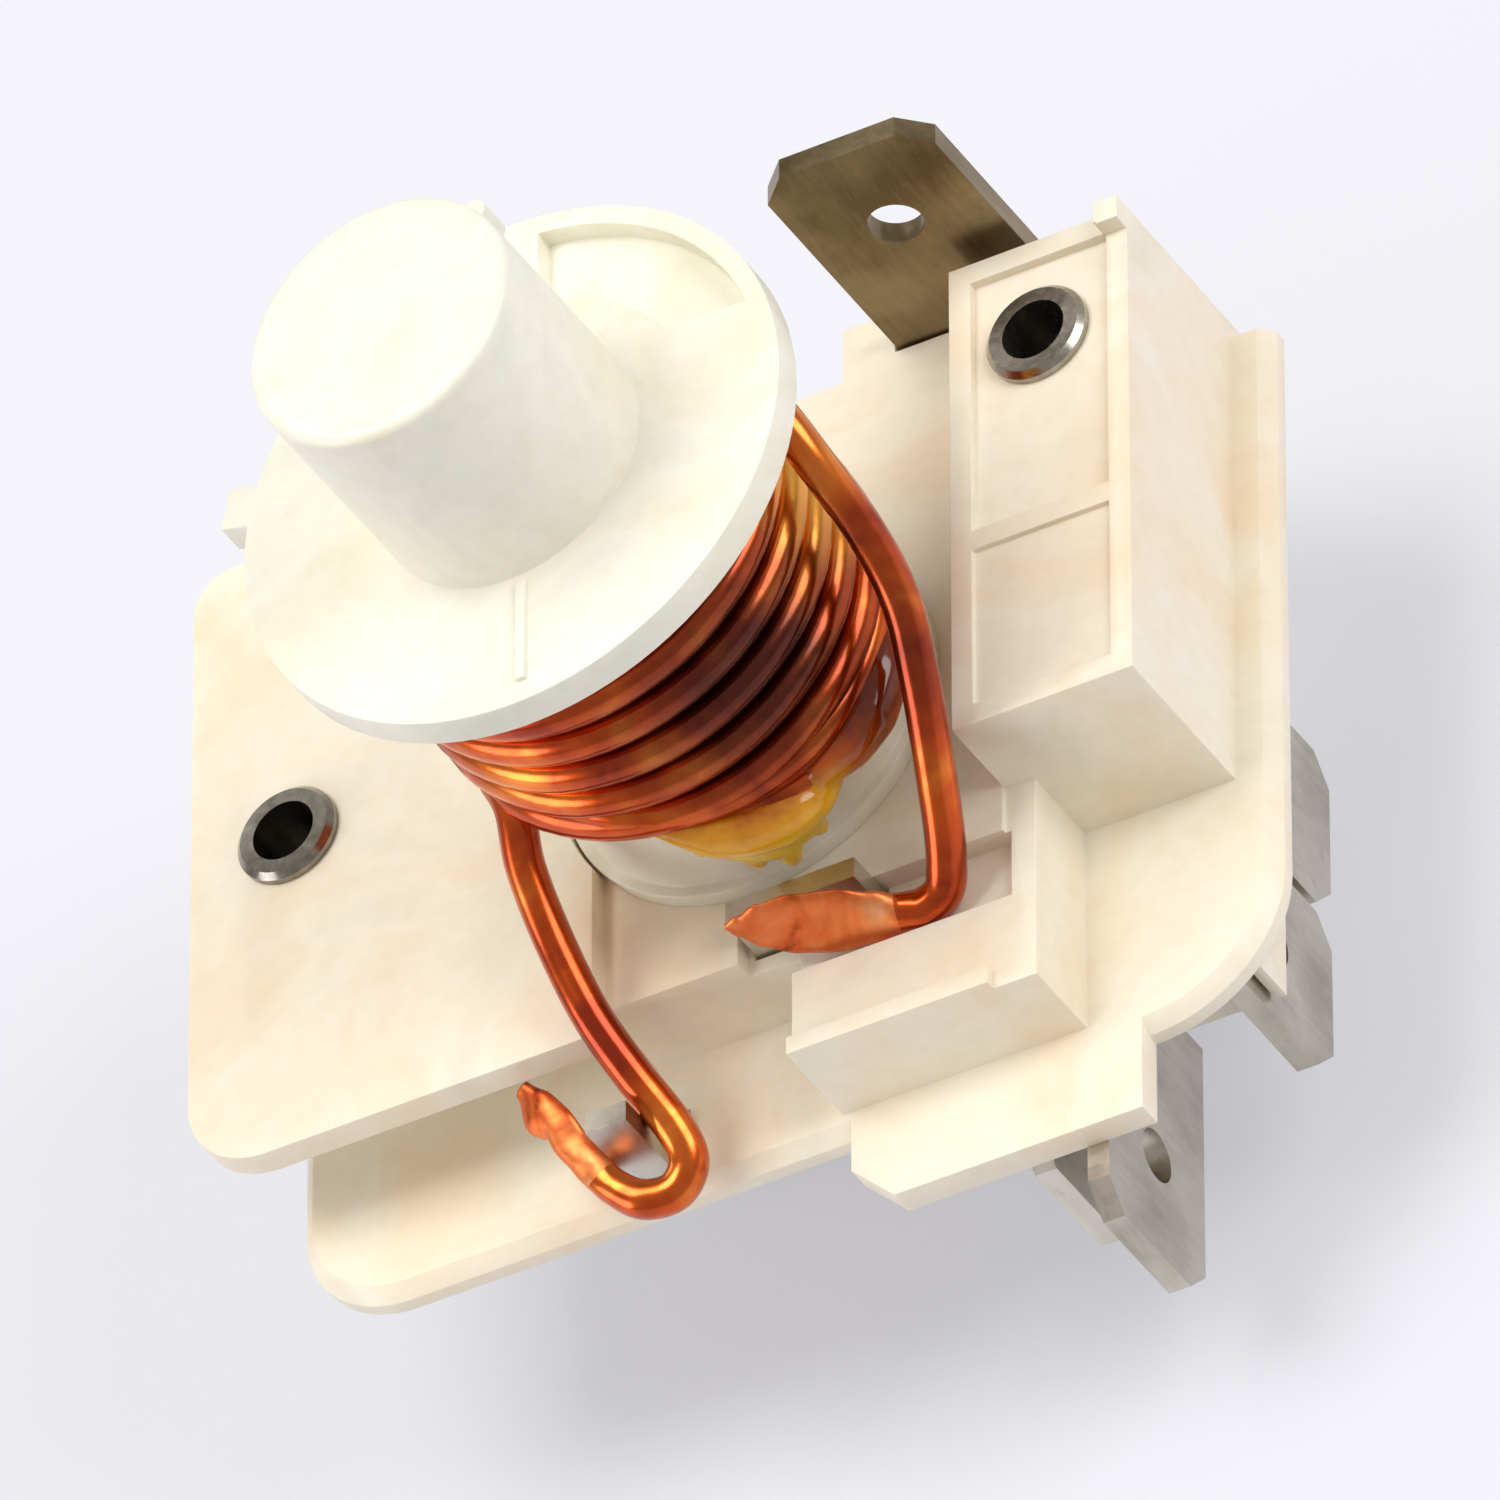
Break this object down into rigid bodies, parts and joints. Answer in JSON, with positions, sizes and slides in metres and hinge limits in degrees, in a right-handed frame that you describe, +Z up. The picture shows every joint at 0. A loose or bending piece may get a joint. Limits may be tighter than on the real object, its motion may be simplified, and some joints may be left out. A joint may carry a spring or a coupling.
{
  "type": "compressor start relay",
  "caption": "Plug-on start relay for a small refrigeration compressor: ivory housing, copper coil on a flanged bobbin, push-on tabs and pin sockets.",
  "frame": {"origin": "centre of the main pin sleeve's lower end, just inside the socket's mouth on the underside", "axes": "+Z up along the coil axis, away from the pins; +X along the pin row from the main pin to the start pin; +Y to the back edge with the upright tab, away from the front tabs"},
  "size_m": [0.0384, 0.0359, 0.0385],
  "materials": {
    "housing_plastic": "satin",
    "bobbin_plastic": "satin",
    "enamelled_copper": "glossy",
    "varnish": "glossy",
    "tinned_brass": "satin",
    "silver_contact": "satin",
    "nickel_rivet": "satin",
    "soft_iron": "matte",
    "rod_plastic": "matte",
    "spring_steel": "satin",
    "bridge_brass": "satin"
  },
  "bodies": {
    "housing": {"upper_housing": "housing_plastic", "lower_housing": "housing_plastic", "coil_bobbin": "bobbin_plastic", "coil_wire": "enamelled_copper", "varnish_bead": "varnish", "fixed_contact_left": "silver_contact", "fixed_contact_right": "silver_contact", "line_terminal": "tinned_brass", "main_terminal": "tinned_brass", "capacitor_terminal": "tinned_brass", "start_terminal": "tinned_brass", "neutral_terminal": "tinned_brass", "main_pin_sleeve": "tinned_brass", "start_pin_sleeve": "tinned_brass", "rivet_left": "nickel_rivet", "rivet_right": "nickel_rivet"},
    "plunger_assembly": {"plunger": "soft_iron", "push_rod": "rod_plastic", "spring_collar": "spring_steel", "bridge_clip": "spring_steel", "contact_bridge": "bridge_brass", "contact_spring": "spring_steel", "moving_contact_left": "silver_contact", "moving_contact_right": "silver_contact"}
  },
  "joints": [
    {"name": "plunger_lift", "type": "slide", "parent": "housing", "child": "plunger_assembly", "axis": [0, 0, 1], "range_m": [0, 0.00195]}
  ]
}
